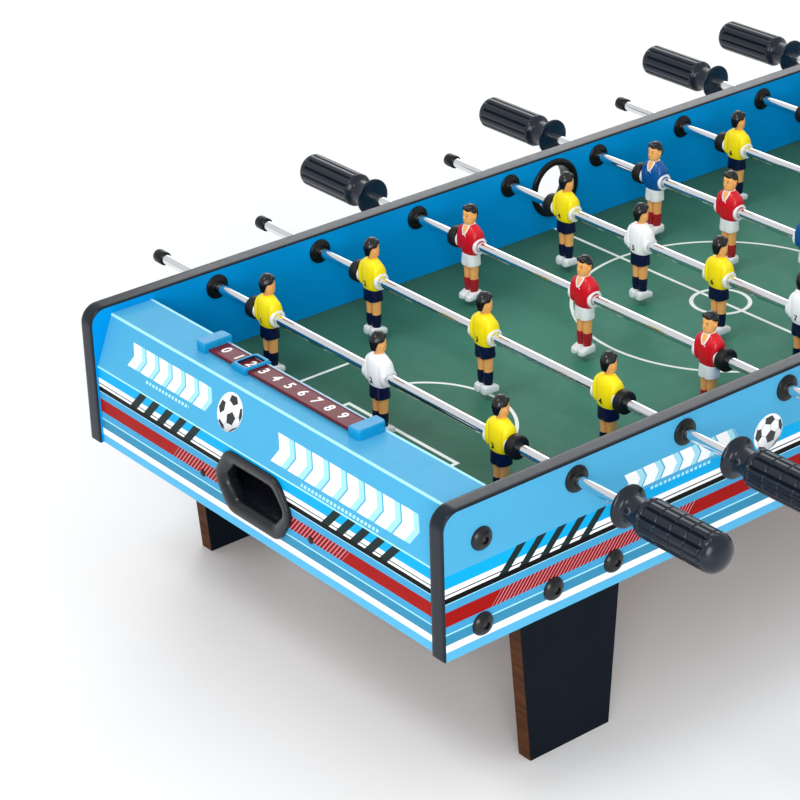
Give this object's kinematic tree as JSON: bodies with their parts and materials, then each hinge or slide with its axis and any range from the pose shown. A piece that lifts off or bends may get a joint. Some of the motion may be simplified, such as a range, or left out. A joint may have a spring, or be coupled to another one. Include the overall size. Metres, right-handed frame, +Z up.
{
  "type": "tabletop foosball table",
  "caption": "Tabletop foosball table on short tapered legs, with rods of players that slide and spin, goal pockets in the ends, serve rings and sliding score counters.",
  "frame": {"origin": "on the supporting surface, under the middle of the table", "axes": "+X along the table's length, +Y across it along the rods, +Z up"},
  "size_m": [0.9326, 0.7, 0.2533],
  "materials": {
    "printed_board": "printed foil on fibreboard, semi-gloss",
    "black_trim": "satin",
    "blue_board": "printed foil on fibreboard, semi-gloss",
    "pitch_green": "printed foil on fibreboard, satin",
    "raw_wood": "raw",
    "leg_board": "dark foil on fibreboard, satin, raw brown edges",
    "black_plastic": "semi-gloss",
    "black_screw": "semi-gloss black",
    "rail_plastic": "gloss",
    "slider_plastic": "gloss",
    "rod_chrome": "polished",
    "handle_black": "satin",
    "bumper_rubber": "satin",
    "player_yellow": "glossy enamel",
    "player_white": "glossy enamel",
    "player_red": "glossy enamel",
    "player_blue": "glossy enamel",
    "player_skin": "satin enamel",
    "player_hair": "glossy enamel",
    "player_navy": "glossy enamel",
    "print_white": "printed"
  },
  "bodies": {
    "cabinet": {"ball_pocket_left": "black_plastic", "ball_pocket_right": "black_plastic", "corner_blocks": "raw_wood", "edge_trims": "black_trim", "end_panel_left": "printed_board", "end_panel_right": "printed_board", "goal_walls": "blue_board", "legs_left": "leg_board", "legs_right": "leg_board", "panel_screws": "black_screw", "pitch_board": "pitch_green", "pocket_screws": "black_screw", "rod_bearings": "black_plastic", "score_rail_left": "rail_plastic", "score_rail_right": "rail_plastic", "serve_rings": "black_plastic", "side_panel_front": "printed_board", "side_panel_rear": "printed_board"},
    "counter_left": {"score_slider_left": "slider_plastic"},
    "counter_right": {"score_slider_right": "slider_plastic"},
    "bumpers_1": {"rod_1_bumpers": "bumper_rubber"},
    "rod_1": {"rod_1_shaft": "rod_chrome", "rod_1_handle": "handle_black", "rod_1_end_cap": "black_plastic", "rod_1_players": "player_yellow"},
    "bumpers_2": {"rod_2_bumpers": "bumper_rubber"},
    "rod_2": {"rod_2_shaft": "rod_chrome", "rod_2_handle": "handle_black", "rod_2_end_cap": "black_plastic", "rod_2_players": "player_yellow"},
    "bumpers_3": {"rod_3_bumpers": "bumper_rubber"},
    "rod_3": {"rod_3_shaft": "rod_chrome", "rod_3_handle": "handle_black", "rod_3_end_cap": "black_plastic", "rod_3_players": "player_red"},
    "bumpers_4": {"rod_4_bumpers": "bumper_rubber"},
    "rod_4": {"rod_4_shaft": "rod_chrome", "rod_4_handle": "handle_black", "rod_4_end_cap": "black_plastic", "rod_4_players": "player_yellow"},
    "bumpers_5": {"rod_5_bumpers": "bumper_rubber"},
    "rod_5": {"rod_5_shaft": "rod_chrome", "rod_5_handle": "handle_black", "rod_5_end_cap": "black_plastic", "rod_5_players": "player_red"},
    "bumpers_6": {"rod_6_bumpers": "bumper_rubber"},
    "rod_6": {"rod_6_shaft": "rod_chrome", "rod_6_handle": "handle_black", "rod_6_end_cap": "black_plastic", "rod_6_players": "player_yellow"},
    "bumpers_7": {"rod_7_bumpers": "bumper_rubber"},
    "rod_7": {"rod_7_shaft": "rod_chrome", "rod_7_handle": "handle_black", "rod_7_end_cap": "black_plastic", "rod_7_players": "player_red"},
    "bumpers_8": {"rod_8_bumpers": "bumper_rubber"},
    "rod_8": {"rod_8_shaft": "rod_chrome", "rod_8_handle": "handle_black", "rod_8_end_cap": "black_plastic", "rod_8_players": "player_red"}
  },
  "joints": [
    {"name": "counter_left_slide", "type": "slide", "parent": "cabinet", "child": "counter_left", "axis": [0, 1, 0], "range_m": [-0.1205, 0.0315]},
    {"name": "counter_right_slide", "type": "slide", "parent": "cabinet", "child": "counter_right", "axis": [0, 1, 0], "range_m": [-0.0315, 0.1205]},
    {"name": "rod_1_slide", "type": "slide", "parent": "cabinet", "child": "bumpers_1", "axis": [0, 1, 0], "range_m": [-0.0395, 0.0445]},
    {"name": "rod_1_spin", "type": "hinge", "parent": "bumpers_1", "child": "rod_1", "pos_m": [-0.35, 0, 0.2203], "axis": [0, 1, 0], "continuous": true},
    {"name": "rod_2_slide", "type": "slide", "parent": "cabinet", "child": "bumpers_2", "axis": [0, 1, 0], "range_m": [-0.0395, 0.0445]},
    {"name": "rod_2_spin", "type": "hinge", "parent": "bumpers_2", "child": "rod_2", "pos_m": [-0.25, 0, 0.2203], "axis": [0, 1, 0], "continuous": true},
    {"name": "rod_3_slide", "type": "slide", "parent": "cabinet", "child": "bumpers_3", "axis": [0, 1, 0], "range_m": [-0.0395, 0.0445]},
    {"name": "rod_3_spin", "type": "hinge", "parent": "bumpers_3", "child": "rod_3", "pos_m": [-0.15, 0, 0.2203], "axis": [0, 1, 0], "continuous": true},
    {"name": "rod_4_slide", "type": "slide", "parent": "cabinet", "child": "bumpers_4", "axis": [0, 1, 0], "range_m": [-0.0395, 0.0445]},
    {"name": "rod_4_spin", "type": "hinge", "parent": "bumpers_4", "child": "rod_4", "pos_m": [-0.05, 0, 0.2203], "axis": [0, 1, 0], "continuous": true},
    {"name": "rod_5_slide", "type": "slide", "parent": "cabinet", "child": "bumpers_5", "axis": [0, 1, 0], "range_m": [-0.0395, 0.0445]},
    {"name": "rod_5_spin", "type": "hinge", "parent": "bumpers_5", "child": "rod_5", "pos_m": [0.05, 0, 0.2203], "axis": [0, 1, 0], "continuous": true},
    {"name": "rod_6_slide", "type": "slide", "parent": "cabinet", "child": "bumpers_6", "axis": [0, 1, 0], "range_m": [-0.0395, 0.0445]},
    {"name": "rod_6_spin", "type": "hinge", "parent": "bumpers_6", "child": "rod_6", "pos_m": [0.15, 0, 0.2203], "axis": [0, 1, 0], "continuous": true},
    {"name": "rod_7_slide", "type": "slide", "parent": "cabinet", "child": "bumpers_7", "axis": [0, 1, 0], "range_m": [-0.0395, 0.0445]},
    {"name": "rod_7_spin", "type": "hinge", "parent": "bumpers_7", "child": "rod_7", "pos_m": [0.25, 0, 0.2203], "axis": [0, 1, 0], "continuous": true},
    {"name": "rod_8_slide", "type": "slide", "parent": "cabinet", "child": "bumpers_8", "axis": [0, 1, 0], "range_m": [-0.0395, 0.0445]},
    {"name": "rod_8_spin", "type": "hinge", "parent": "bumpers_8", "child": "rod_8", "pos_m": [0.35, 0, 0.2203], "axis": [0, 1, 0], "continuous": true}
  ]
}
